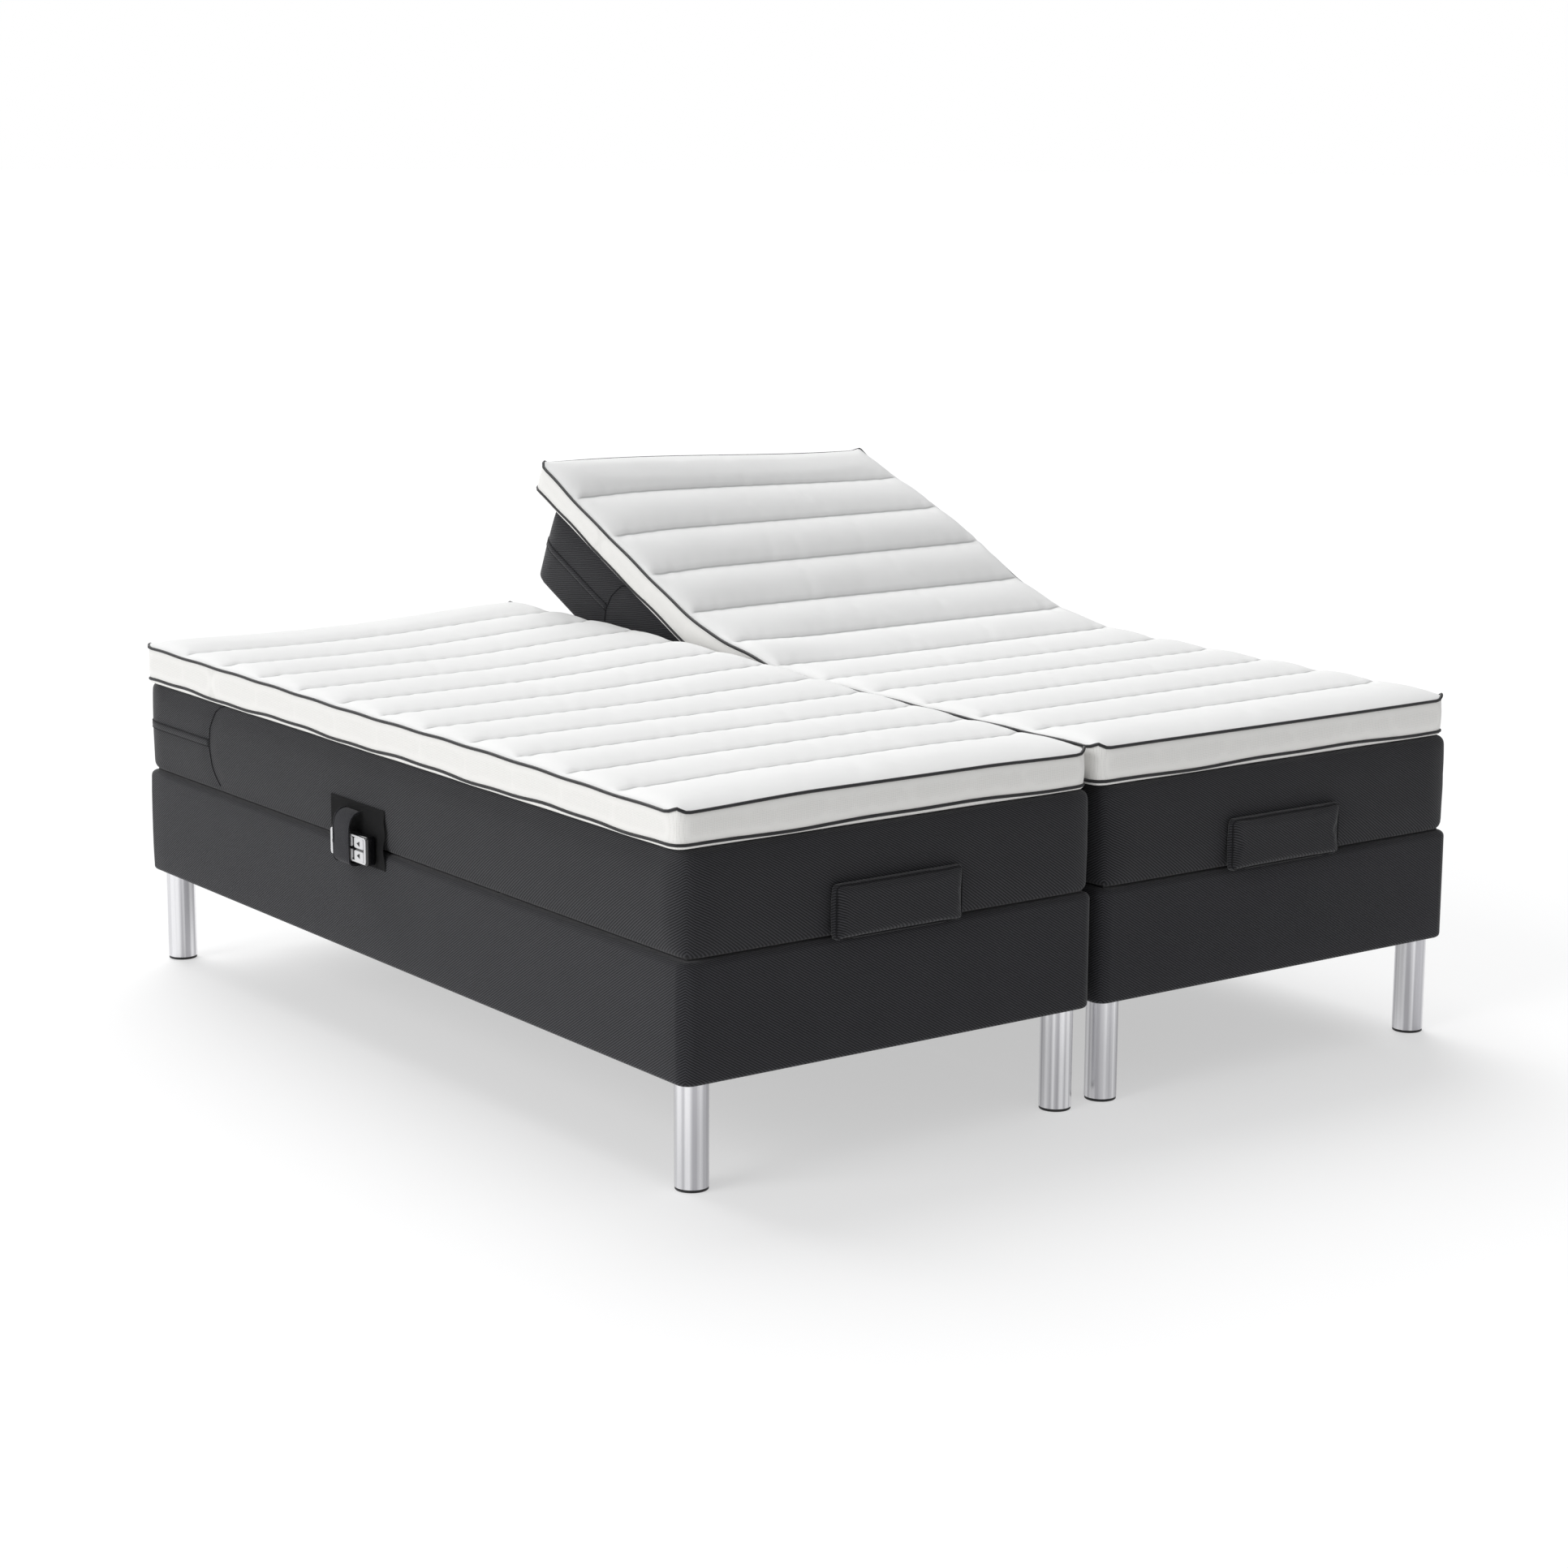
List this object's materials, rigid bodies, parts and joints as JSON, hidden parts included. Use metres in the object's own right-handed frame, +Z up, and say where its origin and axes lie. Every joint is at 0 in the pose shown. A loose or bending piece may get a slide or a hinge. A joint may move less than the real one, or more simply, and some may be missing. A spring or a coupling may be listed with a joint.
{
  "type": "adjustable bed base",
  "caption": "Split upholstered bed on round steel legs: each side has a lifting back and folding leg section, a mattress, a white quilted topper, and a handset in a side holder.",
  "frame": {"origin": "on the floor, at the middle of the bed's footprint with its handset holder and foot pads", "axes": "+X across the bed towards the right-hand unit seen from the foot, +Y along the bed towards the head, +Z up"},
  "size_m": [1.854, 2.0246, 1.0186],
  "materials": {
    "leg_steel": "brushed, satin",
    "box_fabric": "woven twill, matte",
    "mattress_fabric": "woven twill, matte",
    "topper_fabric": "quilted knit, matte",
    "carcass_pine": "planed, matte",
    "deck_panel": "black stained plywood, matte",
    "drive_plastic": "moulded, matte",
    "rod_steel": "polished",
    "tie_steel": "powder coated, satin",
    "holder_lining": "smooth lining, matte",
    "handset_plastic": "moulded, gloss",
    "button_plastic": "moulded, satin"
  },
  "bodies": {
    "bed": {"left_leg_foot_west": "leg_steel", "left_leg_foot_east": "leg_steel", "left_leg_head_west": "leg_steel", "left_leg_head_east": "leg_steel", "left_box_cover": "box_fabric", "left_box_carcass": "carcass_pine", "left_control_box": "drive_plastic", "left_seat_deck": "deck_panel", "left_mattress_seat": "mattress_fabric", "left_topper_seat": "topper_fabric", "left_back_drive": "drive_plastic", "left_leg_drive": "drive_plastic", "right_leg_foot_west": "leg_steel", "right_leg_foot_east": "leg_steel", "right_leg_head_west": "leg_steel", "right_leg_head_east": "leg_steel", "right_box_cover": "box_fabric", "right_box_carcass": "carcass_pine", "right_control_box": "drive_plastic", "right_seat_deck": "deck_panel", "right_mattress_seat": "mattress_fabric", "right_topper_seat": "topper_fabric", "right_back_drive": "drive_plastic", "right_leg_drive": "drive_plastic", "unit_tie_foot": "tie_steel", "unit_tie_head": "tie_steel", "holder_patch": "holder_lining", "holder_strap": "mattress_fabric"},
    "left_back": {"left_back_deck": "deck_panel", "left_mattress_back": "mattress_fabric", "left_topper_back": "topper_fabric"},
    "left_thigh": {"left_thigh_deck": "deck_panel", "left_mattress_thigh": "mattress_fabric", "left_topper_thigh": "topper_fabric"},
    "left_calf": {"left_calf_deck": "deck_panel", "left_mattress_calf": "mattress_fabric", "left_topper_calf": "topper_fabric", "left_retainer_pad": "mattress_fabric"},
    "left_back_rod": {"left_back_rod": "rod_steel"},
    "left_leg_rod": {"left_leg_rod": "rod_steel"},
    "right_back": {"right_back_deck": "deck_panel", "right_mattress_back": "mattress_fabric", "right_topper_back": "topper_fabric"},
    "right_thigh": {"right_thigh_deck": "deck_panel", "right_mattress_thigh": "mattress_fabric", "right_topper_thigh": "topper_fabric"},
    "right_calf": {"right_calf_deck": "deck_panel", "right_mattress_calf": "mattress_fabric", "right_topper_calf": "topper_fabric", "right_retainer_pad": "mattress_fabric"},
    "right_back_rod": {"right_back_rod": "rod_steel"},
    "right_leg_rod": {"right_leg_rod": "rod_steel"},
    "handset": {"handset_body": "handset_plastic"},
    "button_head_up": {"button_head_up": "button_plastic"},
    "button_head_down": {"button_head_down": "button_plastic"},
    "button_middle_up": {"button_middle_up": "button_plastic"},
    "button_middle_down": {"button_middle_down": "button_plastic"},
    "button_foot_up": {"button_foot_up": "button_plastic"},
    "button_foot_down": {"button_foot_down": "button_plastic"}
  },
  "joints": [
    {"name": "left_back_lift", "type": "hinge", "parent": "bed", "child": "left_back", "pos_m": [-0.439, 0.2123, 0.418], "axis": [1, 0, 0], "range_deg": [0, 60], "deforming": ["left_mattress_seat", "left_topper_seat"]},
    {"name": "left_thigh_lift", "type": "hinge", "parent": "bed", "child": "left_thigh", "pos_m": [-0.439, -0.0177, 0.418], "axis": [-1, 0, 0], "range_deg": [0, 30], "deforming": ["left_mattress_thigh", "left_topper_thigh"]},
    {"name": "left_calf_fold", "type": "hinge", "parent": "left_thigh", "child": "left_calf", "pos_m": [-0.439, -0.3777, 0.418], "axis": [-1, 0, 0], "range_deg": [-45, 0]},
    {"name": "left_back_rod_slide", "type": "slide", "parent": "bed", "child": "left_back_rod", "axis": [0, 1, 0], "range_m": [0, 0.1501]},
    {"name": "left_leg_rod_slide", "type": "slide", "parent": "bed", "child": "left_leg_rod", "axis": [0, -1, 0], "range_m": [0, 0.078]},
    {"name": "right_back_lift", "type": "hinge", "parent": "bed", "child": "right_back", "pos_m": [0.477, 0.2123, 0.418], "axis": [1, 0, 0], "range_deg": [-25, 35], "deforming": ["right_mattress_seat", "right_topper_seat"]},
    {"name": "right_thigh_lift", "type": "hinge", "parent": "bed", "child": "right_thigh", "pos_m": [0.477, -0.0177, 0.418], "axis": [-1, 0, 0], "range_deg": [0, 30], "deforming": ["right_mattress_thigh", "right_topper_thigh"]},
    {"name": "right_calf_fold", "type": "hinge", "parent": "right_thigh", "child": "right_calf", "pos_m": [0.477, -0.3777, 0.418], "axis": [-1, 0, 0], "range_deg": [-45, 0]},
    {"name": "right_back_rod_slide", "type": "slide", "parent": "bed", "child": "right_back_rod", "axis": [0, 1, 0], "range_m": [-0.06258, 0.08762]},
    {"name": "right_leg_rod_slide", "type": "slide", "parent": "bed", "child": "right_leg_rod", "axis": [0, -1, 0], "range_m": [0, 0.078]},
    {"name": "handset_slide", "type": "slide", "parent": "bed", "child": "handset", "axis": [0, 1, 0], "range_m": [0, 0.12]},
    {"name": "button_head_up_press", "type": "slide", "parent": "handset", "child": "button_head_up", "axis": [1, 0, 0], "range_m": [0, 0.0012], "stiffness_N_per_m": 900},
    {"name": "button_head_down_press", "type": "slide", "parent": "handset", "child": "button_head_down", "axis": [1, 0, 0], "range_m": [0, 0.0012], "stiffness_N_per_m": 900},
    {"name": "button_middle_up_press", "type": "slide", "parent": "handset", "child": "button_middle_up", "axis": [1, 0, 0], "range_m": [0, 0.0012], "stiffness_N_per_m": 900},
    {"name": "button_middle_down_press", "type": "slide", "parent": "handset", "child": "button_middle_down", "axis": [1, 0, 0], "range_m": [0, 0.0012], "stiffness_N_per_m": 900},
    {"name": "button_foot_up_press", "type": "slide", "parent": "handset", "child": "button_foot_up", "axis": [1, 0, 0], "range_m": [0, 0.0012], "stiffness_N_per_m": 900},
    {"name": "button_foot_down_press", "type": "slide", "parent": "handset", "child": "button_foot_down", "axis": [1, 0, 0], "range_m": [0, 0.0012], "stiffness_N_per_m": 900}
  ],
  "couplings": [
    {"joint": "left_calf_fold", "follows": "left_thigh_lift", "ratio": -1.5},
    {"joint": "left_back_rod_slide", "follows": "left_back_lift", "m_per_rad": 0.1432},
    {"joint": "left_leg_rod_slide", "follows": "left_thigh_lift", "m_per_rad": 0.1483},
    {"joint": "right_calf_fold", "follows": "right_thigh_lift", "ratio": -1.5},
    {"joint": "right_back_rod_slide", "follows": "right_back_lift", "m_per_rad": 0.1432},
    {"joint": "right_leg_rod_slide", "follows": "right_thigh_lift", "m_per_rad": 0.1483}
  ]
}
